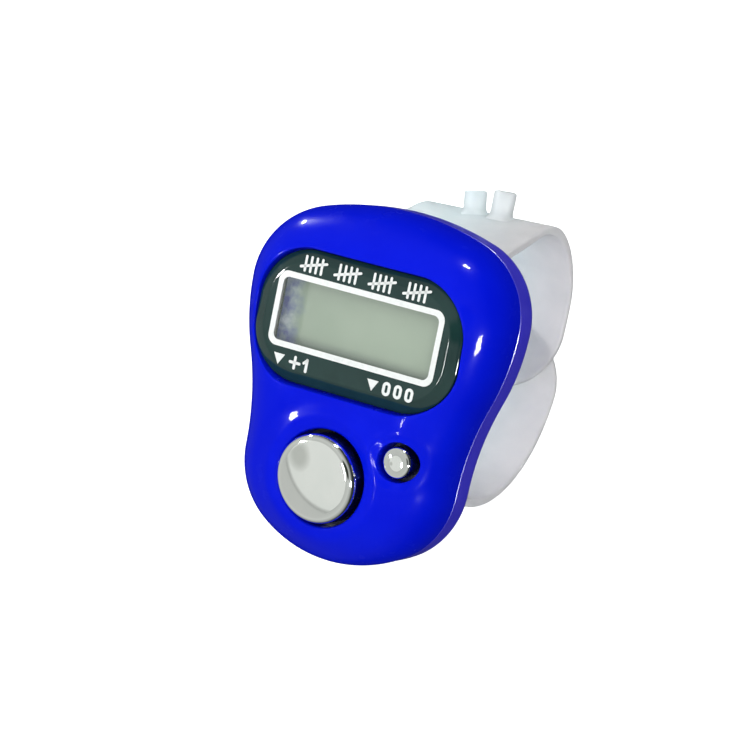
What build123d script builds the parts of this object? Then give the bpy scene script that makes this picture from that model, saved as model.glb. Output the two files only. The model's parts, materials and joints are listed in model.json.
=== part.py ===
"""Finger-ring tally counter: a pear-shaped two-shell body with a display window, a count key and a
reset key, worn on the finger by two soft straps that close into a ring behind it.

The counter stands as it does on a table, leaning back on its lower edge and on the ring. Millimetres,
+Z up, +X along the finger, the face towards -Y. The origin is under the middle of the whole object.
On the face, a place is given as x, up (along the face) and depth (behind the lens's front surface).
"""

import os
from math import atan2, cos, degrees, radians, sin, sqrt

from build123d import *

os.makedirs("parts", exist_ok=True)

# Stance: how far the face leans back, and where its origin (the middle of the display) stands.
LEAN = 24.08
FACE_Y = -11.607
FACE_Z = 26.66

# Outline of the shells, as tangent arcs down the right side: radius and turn of each.
TOP = 12.4
TOP_RADIUS, TOP_TURN = 32.5, 17.0
SHOULDER_RADIUS, SHOULDER_TURN = 8.5, 73.0
FLANK_RADIUS, FLANK_TURN = 23.5, 20.0
WAIST_RADIUS, WAIST_TURN = 28.8, 20.0
CORNER_RADIUS, CORNER_TURN = 9.4, 57.0
BOTTOM_TURN = 180.0 - TOP_TURN - SHOULDER_TURN - FLANK_TURN + WAIST_TURN - CORNER_TURN

# Depths of the main levels.
CROWN = -0.9
SEAM = 6.0
BACK = 9.8
FRONT_WALL = 1.3
REAR_WALL = 1.9
REAR_FLOOR = 8.6
CAVITY_FRONT = 0.8
DOME_WIDTH = 8.0
DOME_DEPTH = SEAM - CROWN
DOME_POWER = 2.3
DOME_DROP = 0.6
BACK_ROUND = 1.4
SEAM_CHAMFER = 0.15

# Display window.
LENS_LENGTH, LENS_HEIGHT, LENS_CORNER = 24.4, 14.1, 5.9
LENS_UP = -0.35
LENS_THICKNESS = 1.0
LENS_BEVEL_DEPTH, LENS_BEVEL_WIDTH = 0.55, 1.3
LENS_GAP = 0.15
TAPE = 0.15
SEAT = LENS_THICKNESS + TAPE
SEAT_WIDTH = 1.0
PAD_BACK, PAD_RIM = 2.0, 0.5
GLASS_LENGTH, GLASS_HEIGHT, GLASS = 21.0, 10.4, 0.7
LEDGE = 1.6
POLARISER_LENGTH, POLARISER_HEIGHT, POLARISER = 20.4, 8.4, 0.15
ZEBRA_LENGTH = 19.6
HOLDER_CORNER = 2.0
POLARISER_FRONT = 2.1
GLASS_FRONT = POLARISER_FRONT + POLARISER
GLASS_MIDDLE = GLASS_FRONT + GLASS
GLASS_BACK = GLASS_MIDDLE + GLASS
BOARD_FRONT, BOARD_BACK = 4.4, 5.2
BOARD_EDGE = 2.4
CHIP_PLACE, CHIP_RADIUS, CHIP = (-9.7, -1.6), 2.4, 0.9
COMPONENTS_PLACE, COMPONENTS_SPACING = (9.8, 0.4), 2.2
COMPONENT_LENGTH, COMPONENT_WIDTH, COMPONENT = 1.6, 0.8, 0.5

# Keys.
COUNT_X, COUNT_UP = 0.0, -16.0
COUNT_RADIUS, COUNT_HOLE = 4.7, 5.15
COUNT_FLANGE, COUNT_GUIDE, COUNT_COLLAR = 5.75, 5.83, 6.65
COUNT_PROUD = 2.7
COUNT_TRAVEL = 0.95
COUNT_TILT, COUNT_CROWN_RADIUS = 6.0, 30.0
RESET_X, RESET_UP = 8.1, -12.2
RESET_RADIUS, RESET_HOLE = 1.65, 2.1
RESET_FLANGE, RESET_GUIDE, RESET_COLLAR = 2.4, 2.48, 3.2
RESET_PROUD = 0.95
RESET_TRAVEL = 0.6
RESET_CROWN_RADIUS = 4.0
KEY_LEDGE = 1.6
FLANGE_GAP = 0.05
FLANGE = 0.8
GUIDE_BACK = 3.6
COUNT_ROOF, COUNT_FOOT = 2.4, 4.6
RESET_ROOF, RESET_FOOT = 1.1, 1.9
FOOT, FOOT_WIDTH, DOME_WALL = 0.4, 0.35, 0.35
PILL = 0.4
PILL_GAP = 0.05

# Button cell.
CELL_UP = -4.3
CELL_RADIUS, CELL_THICKNESS = 5.8, 3.05
CELL_BACK = 8.5
CELL_FRONT = CELL_BACK - CELL_THICKNESS
CELL_CAP_RADIUS, CELL_CAP_DEPTH, CELL_GASKET = 4.5, 0.6, 0.3
NEST_RADIUS, NEST_WALL = 5.95, 0.75
NEST_NOTCH = 3.6
CONTACT, CONTACT_WIDTH, CONTACT_FOOT = 0.2, 3.0, 2.4
BRIDGE_LENGTH, BRIDGE_WIDTH = 6.0, 2.0

# Straps: roots in the rear shell, and centre lines as straights and arcs.
STRAP = 0.9
STRAP_WIDTH, ROOT_WIDTH = 16.0, 13.0
FLARE_START, FLARE_END = 11.9, 15.3
BEAD_RADIUS, BEAD_GAP = 0.9, 0.06
ROOT_DEPTH = 7.6
UPPER_ROOT, UPPER_ANGLE, UPPER_RUN, UPPER_BEND = 6.65, 18.4, 15.5, 8.6
LOWER_ROOT, LOWER_ANGLE, LOWER_RUN, LOWER_BEND = -15.3, -14.0, 9.9, 14.25
UPPER_TAIL_RADIUS, UPPER_TIP = 60.0, -7.2
LOWER_TIP = 1.2
STRAP_OPENING = 20.0
STUD_RADIUS, STUD_SPACING = 1.25, 3.3
STUD_ROOT, STUD_CHAMFER = 0.4, 0.2
STUD_X = 0.55
STUD_DEPTH = 23.5
STUDS = ((1, 2.9, 0.0), (-1, 2.4, 8.0))
HOLE_RADIUS = 1.2
HOLE_ROWS = (-6.0, -2.6)

# Screws.
SCREWS = ((-9.8, 7.5), (8.7, -18.9))
BOSS_RADIUS, PILOT_RADIUS = 1.5, 0.75
BOSS_FRONT = 1.9
SHANK_RADIUS, SHANK_TIP = 0.7, 3.2
HEAD_RADIUS, HEAD, HEAD_SEAT = 1.5, 0.8, 8.8
HEAD_GAP = 0.15
SLOT_LENGTH, SLOT_WIDTH = 1.9, 0.4

lean = radians(LEAN)
FACE = Plane(origin=(0, FACE_Y, FACE_Z), x_dir=(1, 0, 0), z_dir=(0, -cos(lean), sin(lean)))
SIDE = Plane(origin=FACE.origin, x_dir=-FACE.z_dir, z_dir=(1, 0, 0))
ABOVE = Plane(origin=FACE.origin, x_dir=(1, 0, 0), z_dir=FACE.y_dir)
OUTWARD = Axis(FACE.origin, FACE.z_dir)
UPWARD = Axis(FACE.origin, FACE.y_dir)


def level(depth):
    """The plane parallel to the face at this depth."""
    return FACE.offset(-depth)


def pear(inset):
    """The shells' outline, drawn in by inset."""
    with BuildSketch(mode=Mode.PRIVATE) as outline:
        with BuildLine():
            top = JernArc((0, TOP), (1, 0), TOP_RADIUS, -TOP_TURN)
            shoulder = JernArc(top @ 1, top % 1, SHOULDER_RADIUS, -SHOULDER_TURN)
            flank = JernArc(shoulder @ 1, shoulder % 1, FLANK_RADIUS, -FLANK_TURN)
            waist = JernArc(flank @ 1, flank % 1, WAIST_RADIUS, WAIST_TURN)
            corner = JernArc(waist @ 1, waist % 1, CORNER_RADIUS, -CORNER_TURN)
            bottom_radius = (corner @ 1).X / sin(radians(BOTTOM_TURN))
            JernArc(corner @ 1, corner % 1, bottom_radius, -BOTTOM_TURN)
            mirror(about=Plane.YZ)
        make_face()
        if inset:
            offset(amount=-inset)
    return outline.sketch


def dome_inset(depth, wall):
    """How far the domed front draws in at a depth; its inner face runs a wall thickness behind."""
    rise = (SEAM - depth) / (DOME_DEPTH - wall)
    return wall + DOME_WIDTH * (1 - (1 - rise**DOME_POWER) ** (1 / DOME_POWER))


def dome_section(depth, wall):
    """The domed front's outline at a depth, which sits lower the nearer it is to the crown."""
    drop = DOME_DROP * (SEAM - depth) / DOME_DEPTH
    return Pos(0, -drop) * pear(dome_inset(depth, wall))


def finish(piece, name):
    """Labels a finished piece and writes its file."""
    piece.part.label = name
    export_step(piece.part, f"parts/{name}.step")


# Shells -----------------------------------------------------------------------------------------

with BuildPart() as front_shell:
    for depth in (SEAM, 4.4, 2.9, 1.6, 0.6, -0.1, -0.55, -0.8, CROWN):
        with BuildSketch(level(depth)):
            add(dome_section(depth, 0))
    loft()
    with BuildPart(mode=Mode.PRIVATE) as cavity:
        for depth in (SEAM, 4.6, 3.2, 1.9, CAVITY_FRONT):
            with BuildSketch(level(depth)):
                add(dome_section(depth, FRONT_WALL))
        loft()
    add(cavity.part, mode=Mode.SUBTRACT)
    with BuildSketch(level(PAD_BACK)):
        with Locations((0, LENS_UP)):
            RectangleRounded(
                LENS_LENGTH + 2 * PAD_RIM, LENS_HEIGHT + 2 * PAD_RIM, LENS_CORNER + PAD_RIM
            )
    extrude(amount=PAD_BACK - CAVITY_FRONT + 0.2)
    with BuildSketch(level(GUIDE_BACK)):
        with Locations((COUNT_X, COUNT_UP)):
            Circle(COUNT_COLLAR)
    extrude(amount=GUIDE_BACK - CAVITY_FRONT + 0.2)
    with BuildSketch(level(GUIDE_BACK)):
        with Locations((RESET_X, RESET_UP)):
            Circle(RESET_COLLAR)
    extrude(amount=GUIDE_BACK - CAVITY_FRONT + 0.2)
    with BuildSketch(level(SEAM)):
        with Locations(*SCREWS):
            Circle(BOSS_RADIUS)
    extrude(amount=SEAM - BOSS_FRONT)
    # Lens recess and window.
    with BuildSketch(level(SEAT)):
        with Locations((0, LENS_UP)):
            RectangleRounded(
                LENS_LENGTH + 2 * LENS_GAP, LENS_HEIGHT + 2 * LENS_GAP, LENS_CORNER + LENS_GAP
            )
    extrude(amount=SEAT - CROWN + 1, mode=Mode.SUBTRACT)
    with BuildSketch(level(PAD_BACK)):
        with Locations((0, LENS_UP)):
            RectangleRounded(
                LENS_LENGTH - 2 * SEAT_WIDTH, LENS_HEIGHT - 2 * SEAT_WIDTH, LENS_CORNER - SEAT_WIDTH
            )
    extrude(amount=PAD_BACK, mode=Mode.SUBTRACT)
    # Key holes, their guides behind the ledge, and the screw holes.
    for place, hole, guide in (
        ((COUNT_X, COUNT_UP), COUNT_HOLE, COUNT_GUIDE),
        ((RESET_X, RESET_UP), RESET_HOLE, RESET_GUIDE),
    ):
        with BuildSketch(level(GUIDE_BACK)):
            with Locations(place):
                Circle(hole)
        extrude(amount=GUIDE_BACK - CROWN + 1, mode=Mode.SUBTRACT)
        with BuildSketch(level(GUIDE_BACK)):
            with Locations(place):
                Circle(guide)
        extrude(amount=GUIDE_BACK - KEY_LEDGE, mode=Mode.SUBTRACT)
    with BuildSketch(level(SEAM)):
        with Locations(*SCREWS):
            Circle(PILOT_RADIUS)
    extrude(amount=SEAM - SHANK_TIP + 0.6, mode=Mode.SUBTRACT)
finish(front_shell, "front_shell")

with BuildPart() as rear_shell:
    with BuildSketch(level(BACK)):
        add(pear(0))
    extrude(amount=BACK - SEAM)
    fillet(rear_shell.faces().sort_by(OUTWARD)[0].edges(), BACK_ROUND)
    chamfer(rear_shell.faces().sort_by(OUTWARD)[-1].edges(), SEAM_CHAMFER)
    with BuildSketch(level(REAR_FLOOR)):
        add(pear(REAR_WALL))
    extrude(amount=REAR_FLOOR - SEAM, mode=Mode.SUBTRACT)
    # Locating lip, which enters the front shell.
    with BuildSketch(level(SEAM + 0.5)):
        add(pear(FRONT_WALL + 0.15))
        add(pear(REAR_WALL), mode=Mode.SUBTRACT)
        with Locations(*SCREWS):
            Circle(BOSS_RADIUS + 0.2, mode=Mode.SUBTRACT)
    extrude(amount=1.0)
    # Nest ring for the button cell, open on the right for the side contact.
    with BuildSketch(level(REAR_FLOOR)):
        with Locations((0, CELL_UP)):
            Circle(NEST_RADIUS + NEST_WALL)
            Circle(NEST_RADIUS, mode=Mode.SUBTRACT)
        with Locations((NEST_RADIUS, CELL_UP)):
            Rectangle(4 * NEST_WALL, NEST_NOTCH, mode=Mode.SUBTRACT)
    extrude(amount=REAR_FLOOR - BOARD_BACK - 0.1)
    # Cradles for the straps' root beads.
    for root, sign in ((UPPER_ROOT, 1), (LOWER_ROOT, -1)):
        with BuildSketch(level(REAR_FLOOR)):
            with Locations((0, root)):
                Rectangle(ROOT_WIDTH + 1.6, 3.6)
        extrude(amount=REAR_FLOOR - BOARD_BACK - 0.1)
        with BuildSketch(SIDE):
            with Locations((ROOT_DEPTH, root)):
                Circle(BEAD_RADIUS + BEAD_GAP)
            with Locations((ROOT_DEPTH - 1.5, root)):
                Rectangle(3, 1.5)
        extrude(amount=ROOT_WIDTH / 2 + 0.15, both=True, mode=Mode.SUBTRACT)
        rest = UPPER_ANGLE if sign > 0 else -LOWER_ANGLE
        with BuildSketch(SIDE):
            with BuildLine():
                reach = BACK - ROOT_DEPTH + 0.5
                half = STRAP / 2 + 0.12
                low, high = radians(rest), radians(rest + STRAP_OPENING)
                inner = (ROOT_DEPTH + half * sin(low), root - sign * half * cos(low))
                inner_end = (inner[0] + reach, inner[1] + sign * reach * sin(low) / cos(low))
                outer = (ROOT_DEPTH - half * sin(high), root + sign * half * cos(high))
                outer_end = (
                    outer[0] + reach + 2 * half,
                    outer[1] + sign * (reach + 2 * half) * sin(high) / cos(high),
                )
                Polyline(inner, inner_end, outer_end, outer, close=True)
            make_face()
        extrude(amount=ROOT_WIDTH / 2 + 0.15, both=True, mode=Mode.SUBTRACT)
    # Screw columns, holes and head recesses.
    with BuildSketch(level(REAR_FLOOR)):
        with Locations(*SCREWS):
            Circle(HEAD_RADIUS + HEAD_GAP + 0.6)
    extrude(amount=REAR_FLOOR - SEAM)
    with BuildSketch(level(BACK)):
        with Locations(*SCREWS):
            Circle(PILOT_RADIUS + 0.15)
    extrude(amount=BACK - SEAM, mode=Mode.SUBTRACT)
    with BuildSketch(level(BACK)):
        with Locations(*SCREWS):
            Circle(HEAD_RADIUS + HEAD_GAP)
    extrude(amount=BACK - HEAD_SEAT, mode=Mode.SUBTRACT)
finish(rear_shell, "rear_shell")

with BuildPart() as case_screws:
    with BuildSketch(level(HEAD_SEAT + HEAD)):
        with Locations(*SCREWS):
            Circle(HEAD_RADIUS)
    extrude(amount=HEAD)
    fillet(case_screws.faces().sort_by(OUTWARD)[:2].edges(), 0.25)
    with BuildSketch(level(HEAD_SEAT)):
        with Locations(*SCREWS):
            Circle(SHANK_RADIUS)
    extrude(amount=HEAD_SEAT - SHANK_TIP)
    with BuildSketch(level(HEAD_SEAT + HEAD)):
        with Locations(*SCREWS):
            Rectangle(SLOT_LENGTH, SLOT_WIDTH)
            Rectangle(SLOT_WIDTH, SLOT_LENGTH)
    extrude(amount=HEAD / 2, mode=Mode.SUBTRACT)
finish(case_screws, "case_screws")

# Display ----------------------------------------------------------------------------------------

with BuildPart() as window_lens:
    with BuildSketch(level(LENS_THICKNESS)):
        with Locations((0, LENS_UP)):
            RectangleRounded(LENS_LENGTH, LENS_HEIGHT, LENS_CORNER)
    extrude(amount=LENS_THICKNESS - LENS_BEVEL_DEPTH)
    with BuildSketch(level(LENS_BEVEL_DEPTH)):
        with Locations((0, LENS_UP)):
            RectangleRounded(LENS_LENGTH, LENS_HEIGHT, LENS_CORNER)
    extrude(amount=LENS_BEVEL_DEPTH, taper=degrees(atan2(LENS_BEVEL_WIDTH, LENS_BEVEL_DEPTH)))
finish(window_lens, "window_lens")

with BuildPart() as lens_tape:
    with BuildSketch(level(SEAT)):
        with Locations((0, LENS_UP)):
            RectangleRounded(LENS_LENGTH - 0.2, LENS_HEIGHT - 0.2, LENS_CORNER - 0.1)
            RectangleRounded(
                LENS_LENGTH - 2 * SEAT_WIDTH,
                LENS_HEIGHT - 2 * SEAT_WIDTH,
                LENS_CORNER - SEAT_WIDTH,
                mode=Mode.SUBTRACT,
            )
    extrude(amount=TAPE)
finish(lens_tape, "lens_tape")

REAR_GLASS_HEIGHT = GLASS_HEIGHT - LEDGE
for name, depth, thickness, length, height, up in (
    (
        "lcd_front_polariser",
        POLARISER_FRONT,
        POLARISER,
        POLARISER_LENGTH,
        POLARISER_HEIGHT,
        -LEDGE / 2,
    ),
    ("lcd_front_glass", GLASS_FRONT, GLASS, GLASS_LENGTH, GLASS_HEIGHT, 0),
    ("lcd_rear_glass", GLASS_MIDDLE, GLASS, GLASS_LENGTH, REAR_GLASS_HEIGHT, -LEDGE / 2),
    ("lcd_reflector", GLASS_BACK, POLARISER, POLARISER_LENGTH, POLARISER_HEIGHT, -LEDGE / 2),
):
    with BuildPart() as sheet:
        with BuildSketch(level(depth + thickness)):
            with Locations((0, up)):
                Rectangle(length, height)
        extrude(amount=thickness)
    finish(sheet, name)

with BuildPart() as lcd_holder:
    with BuildSketch(level(BOARD_FRONT)):
        RectangleRounded(GLASS_LENGTH + 1.4, GLASS_HEIGHT + 0.8, HOLDER_CORNER)
        Rectangle(GLASS_LENGTH + 0.2, GLASS_HEIGHT + 0.2, mode=Mode.SUBTRACT)
    extrude(amount=BOARD_FRONT - POLARISER_FRONT)
finish(lcd_holder, "lcd_holder")

with BuildPart() as zebra_strip:
    with BuildSketch(level(BOARD_FRONT)):
        with Locations((0, (GLASS_HEIGHT - LEDGE) / 2)):
            Rectangle(ZEBRA_LENGTH, LEDGE - 0.3)
    extrude(amount=BOARD_FRONT - GLASS_MIDDLE)
finish(zebra_strip, "zebra_strip")

# Circuit board ----------------------------------------------------------------------------------

with BuildPart() as circuit_board:
    with BuildSketch(level(BOARD_BACK)):
        add(pear(BOARD_EDGE))
        with Locations(*SCREWS):
            Circle(BOSS_RADIUS + 0.3, mode=Mode.SUBTRACT)
    extrude(amount=BOARD_BACK - BOARD_FRONT)
finish(circuit_board, "circuit_board")

with BuildPart() as chip_blob:
    with BuildSketch(level(BOARD_BACK)):
        with Locations(CHIP_PLACE):
            Circle(CHIP_RADIUS)
    extrude(amount=-CHIP)
    fillet(chip_blob.faces().sort_by(OUTWARD)[0].edges(), 0.7)
finish(chip_blob, "chip_blob")

with BuildPart() as board_components:
    with BuildSketch(level(BOARD_BACK + COMPONENT)):
        with Locations(COMPONENTS_PLACE):
            with GridLocations(0, COMPONENTS_SPACING, 1, 3):
                Rectangle(COMPONENT_LENGTH, COMPONENT_WIDTH)
    extrude(amount=COMPONENT)
finish(board_components, "board_components")

# Keys: each chromed key stands on a silicone dome with a carbon pill under its roof -------------

KEY_BACK = KEY_LEDGE + FLANGE_GAP + FLANGE

with BuildPart() as count_button:
    with BuildSketch(level(KEY_BACK)):
        with Locations((COUNT_X, COUNT_UP)):
            Circle(COUNT_FLANGE)
    extrude(amount=FLANGE)
    with BuildSketch(level(KEY_BACK)):
        with Locations((COUNT_X, COUNT_UP)):
            Circle(COUNT_RADIUS)
    extrude(amount=KEY_BACK + COUNT_PROUD + 1)
    tilt = radians(COUNT_TILT)
    crown_up = COUNT_UP + COUNT_CROWN_RADIUS * sin(tilt)
    crown_depth = COUNT_CROWN_RADIUS * cos(tilt) - COUNT_PROUD
    with Locations(level(crown_depth).location):
        with Locations((COUNT_X, crown_up)):
            Sphere(COUNT_CROWN_RADIUS, mode=Mode.INTERSECT)
    fillet(count_button.faces().sort_by(OUTWARD)[-1].edges(), 0.45)
finish(count_button, "count_button")

with BuildPart() as reset_button:
    with BuildSketch(level(KEY_BACK)):
        with Locations((RESET_X, RESET_UP)):
            Circle(RESET_FLANGE)
    extrude(amount=FLANGE)
    with BuildSketch(level(KEY_BACK)):
        with Locations((RESET_X, RESET_UP)):
            Circle(RESET_RADIUS)
    extrude(amount=KEY_BACK + RESET_PROUD + 1)
    with Locations(level(RESET_CROWN_RADIUS - RESET_PROUD).location):
        with Locations((RESET_X, RESET_UP)):
            Sphere(RESET_CROWN_RADIUS, mode=Mode.INTERSECT)
finish(reset_button, "reset_button")

for name, place, roof, foot, travel in (
    ("count", (COUNT_X, COUNT_UP), COUNT_ROOF, COUNT_FOOT, COUNT_TRAVEL),
    ("reset", (RESET_X, RESET_UP), RESET_ROOF, RESET_FOOT, RESET_TRAVEL),
):
    pill_back = BOARD_FRONT - travel - PILL_GAP
    with BuildPart() as rubber_dome:
        with BuildSketch(level(BOARD_FRONT)):
            with Locations(place):
                Circle(foot)
        extrude(amount=FOOT)
        with BuildSketch(level(BOARD_FRONT)):
            with Locations(place):
                Circle(foot - FOOT_WIDTH)
        with BuildSketch(level(KEY_BACK)):
            with Locations(place):
                Circle(roof)
        loft()
        with BuildSketch(level(BOARD_FRONT)):
            with Locations(place):
                Circle(foot - FOOT_WIDTH - DOME_WALL)
        with BuildSketch(level(pill_back - PILL)):
            with Locations(place):
                Circle(roof - 0.1)
        loft(mode=Mode.SUBTRACT)
    finish(rubber_dome, f"{name}_rubber_dome")
    with BuildPart() as carbon_pill:
        with BuildSketch(level(pill_back)):
            with Locations(place):
                Circle(roof - 0.4)
        extrude(amount=PILL)
    finish(carbon_pill, f"{name}_carbon_pill")

# Button cell and its contacts -------------------------------------------------------------------

with BuildPart() as cell_can:
    with BuildSketch(level(CELL_BACK)):
        with Locations((0, CELL_UP)):
            Circle(CELL_RADIUS)
    extrude(amount=CELL_THICKNESS - 0.15)
    fillet(cell_can.edges().filter_by(GeomType.CIRCLE), 0.3)
    with BuildSketch(level(CELL_FRONT)):
        with Locations((0, CELL_UP)):
            Circle(CELL_CAP_RADIUS + CELL_GASKET)
    extrude(amount=-CELL_CAP_DEPTH, mode=Mode.SUBTRACT)
finish(cell_can, "cell_can")

with BuildPart() as cell_gasket:
    with BuildSketch(level(CELL_FRONT + CELL_CAP_DEPTH)):
        with Locations((0, CELL_UP)):
            Circle(CELL_CAP_RADIUS + CELL_GASKET)
            Circle(CELL_CAP_RADIUS, mode=Mode.SUBTRACT)
    extrude(amount=CELL_CAP_DEPTH - 0.1)
finish(cell_gasket, "cell_gasket")

with BuildPart() as cell_cap:
    with BuildSketch(level(CELL_FRONT + CELL_CAP_DEPTH)):
        with Locations((0, CELL_UP)):
            Circle(CELL_CAP_RADIUS)
    extrude(amount=CELL_CAP_DEPTH)
    fillet(cell_cap.faces().sort_by(OUTWARD)[-1].edges(), 0.2)
finish(cell_cap, "cell_cap")

with BuildPart() as negative_contact:
    with BuildSketch(level(CELL_FRONT)):
        with Locations((0, CELL_UP)):
            Rectangle(BRIDGE_LENGTH, BRIDGE_WIDTH)
    extrude(amount=CELL_FRONT - BOARD_BACK)
finish(negative_contact, "negative_contact")

with BuildPart() as positive_contact:
    with BuildSketch(level(BOARD_BACK + CONTACT)):
        with Locations((CELL_RADIUS + 0.1 + CONTACT_FOOT / 2, CELL_UP)):
            Rectangle(CONTACT_FOOT, CONTACT_WIDTH)
    extrude(amount=CONTACT)
    with BuildSketch(level(CELL_BACK)):
        with Locations((CELL_RADIUS + 0.1 + CONTACT / 2, CELL_UP)):
            Rectangle(CONTACT, CONTACT_WIDTH)
    extrude(amount=CELL_BACK - BOARD_BACK)
finish(positive_contact, "positive_contact")

# Straps -----------------------------------------------------------------------------------------


def flare_cut(half_root, half_strap):
    """The corner cut away beside a strap's narrower root."""
    return Polygon(
        (half_root, ROOT_DEPTH - 2),
        (half_strap + 1, ROOT_DEPTH - 2),
        (half_strap + 1, FLARE_END),
        (half_strap, FLARE_END),
        (half_root, FLARE_START),
        align=None,
    )


def rounded_tip(tip, sign):
    """What is cut off a strap to leave its end half round; sign is the way the tip points, up or down."""
    half = STRAP_WIDTH / 2
    with BuildSketch(mode=Mode.PRIVATE) as waste:
        with Locations((0, tip - sign * (half - 1) / 2)):
            Rectangle(STRAP_WIDTH + 2, half + 1)
        with Locations((0, tip - sign * half)):
            Circle(half, mode=Mode.SUBTRACT)
    return waste.sketch


for name, root, angle, run, bend, sign in (
    ("strap_upper", UPPER_ROOT, UPPER_ANGLE, UPPER_RUN, UPPER_BEND, 1),
    ("strap_lower", LOWER_ROOT, LOWER_ANGLE, LOWER_RUN, LOWER_BEND, -1),
):
    heading = radians(angle)
    with BuildPart() as strap:
        with BuildSketch(SIDE):
            with BuildLine() as centre_line:
                straight = PolarLine((ROOT_DEPTH, root), run, angle)
                turn = -sign * (90 + abs(angle))
                hoop = JernArc(straight @ 1, straight % 1, bend, turn)
                if sign > 0:
                    tail = degrees((hoop @ 1).Y - UPPER_TIP) / UPPER_TAIL_RADIUS
                    JernArc(hoop @ 1, hoop % 1, UPPER_TAIL_RADIUS, -tail)
                else:
                    Line(hoop @ 1, ((hoop @ 1).X, LOWER_TIP))
            trace(centre_line.line, STRAP)
        extrude(amount=STRAP_WIDTH / 2, both=True)
        with BuildSketch(ABOVE):
            flare_cut(ROOT_WIDTH / 2, STRAP_WIDTH / 2)
            mirror(about=Plane.YZ)
        extrude(amount=30, both=True, mode=Mode.SUBTRACT)
        with BuildSketch(level(BACK + 20)):
            add(rounded_tip(UPPER_TIP if sign > 0 else LOWER_TIP, -sign))
        extrude(amount=-10, mode=Mode.SUBTRACT)
        with BuildSketch(SIDE):
            with Locations((ROOT_DEPTH, root)):
                Circle(BEAD_RADIUS)
        extrude(amount=ROOT_WIDTH / 2, both=True)
        if sign > 0:
            bend_depth = ROOT_DEPTH + run * cos(heading) + bend * sin(heading)
            bend_up = root + run * sin(heading) - bend * cos(heading)
            outside = bend + STRAP / 2
            stud_base = bend_up + sqrt(outside**2 - (STUD_DEPTH - bend_depth) ** 2) - STUD_ROOT
            studs = Plane(
                origin=SIDE.from_local_coords((STUD_DEPTH, stud_base)),
                x_dir=(1, 0, 0),
                z_dir=FACE.y_dir,
            )
            with Locations(studs.location):
                for side, height, stud_lean in STUDS:
                    along = STUD_X + side * STUD_SPACING / 2
                    with Locations(Location((along, 0, 0), (0, -stud_lean, 0))):
                        Cylinder(
                            STUD_RADIUS,
                            height + STUD_ROOT,
                            align=(Align.CENTER, Align.CENTER, Align.MIN),
                        )
            crowns = strap.faces().filter_by(GeomType.PLANE).sort_by(UPWARD)[-2:]
            chamfer(crowns.edges(), STUD_CHAMFER)
        else:
            with BuildSketch(level(BACK + 20)):
                for row in HOLE_ROWS:
                    with Locations((STUD_SPACING / 2, row), (-STUD_SPACING / 2, row)):
                        Circle(HOLE_RADIUS)
            extrude(amount=-10, mode=Mode.SUBTRACT)
    finish(strap, name)
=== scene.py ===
"""Looks of the finger tally counter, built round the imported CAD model.

Places on the face are written as x, up (along the face) and depth (behind the front of the lens), in
millimetres, as in the CAD source.
"""

import json
from math import asin, atan2, cos, degrees, pi, radians, sin, sqrt

import bmesh
import bpy
import numpy as np
from mathutils import Matrix, Vector, geometry, kdtree


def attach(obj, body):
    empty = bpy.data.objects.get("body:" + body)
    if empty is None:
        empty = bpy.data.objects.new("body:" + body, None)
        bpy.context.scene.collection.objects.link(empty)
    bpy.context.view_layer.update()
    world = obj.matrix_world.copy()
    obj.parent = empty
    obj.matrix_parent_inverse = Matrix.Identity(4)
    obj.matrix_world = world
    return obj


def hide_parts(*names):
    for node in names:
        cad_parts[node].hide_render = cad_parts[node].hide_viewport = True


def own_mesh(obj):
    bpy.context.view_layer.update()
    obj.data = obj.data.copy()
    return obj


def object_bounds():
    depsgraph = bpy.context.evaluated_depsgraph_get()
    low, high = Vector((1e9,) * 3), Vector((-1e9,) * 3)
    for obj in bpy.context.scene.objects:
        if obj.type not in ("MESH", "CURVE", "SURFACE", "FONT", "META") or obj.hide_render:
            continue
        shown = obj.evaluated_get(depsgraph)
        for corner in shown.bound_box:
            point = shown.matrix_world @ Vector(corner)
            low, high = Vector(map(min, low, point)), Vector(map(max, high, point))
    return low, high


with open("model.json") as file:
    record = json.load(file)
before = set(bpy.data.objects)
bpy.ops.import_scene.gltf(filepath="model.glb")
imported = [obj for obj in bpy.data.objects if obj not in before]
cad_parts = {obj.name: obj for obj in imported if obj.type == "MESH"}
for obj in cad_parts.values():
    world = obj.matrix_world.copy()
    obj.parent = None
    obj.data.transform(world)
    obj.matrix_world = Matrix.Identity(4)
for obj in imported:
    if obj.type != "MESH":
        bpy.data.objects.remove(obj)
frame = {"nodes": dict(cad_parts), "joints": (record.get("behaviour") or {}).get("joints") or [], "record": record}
cad_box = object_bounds()

MM = 0.001

# The face's own axes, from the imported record.
press = next(j for j in frame["joints"] if j["name"] == "count_press")
rest_mount = next(m for m in frame["record"]["mounts"] if m["name"] == "finger_rest")
REST_UP, REST_DEPTH = -4.3, 9.8
IN = Vector(press["axis"]).normalized()
UP = Vector((0, -IN.z, IN.y))
ACROSS = Vector((1, 0, 0))
ORIGIN = Vector(rest_mount["pos_m"]) - IN * REST_DEPTH * MM - UP * REST_UP * MM
AXES = np.array([ACROSS, UP, IN])


def place(points):
    """Rows of x, up and depth in mm, as places in the row frame."""
    return np.array(ORIGIN) + np.asarray(points, float).reshape(-1, 3) @ AXES * MM


def aim(x, up, depth):
    """A direction given on the face's axes, in the row frame."""
    return (ACROSS * x + UP * up + IN * depth).normalized()


# Camera -----------------------------------------------------------------------------------------

CAMERA_PLACE = (124.582, 32.774, -225.905)
CAMERA_LENS, CAMERA_SENSOR = 121.46, 36.0
CAMERA_AZIMUTH, CAMERA_ELEVATION, CAMERA_ROLL = radians(28.21), radians(8.20), radians(11.56)

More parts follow.
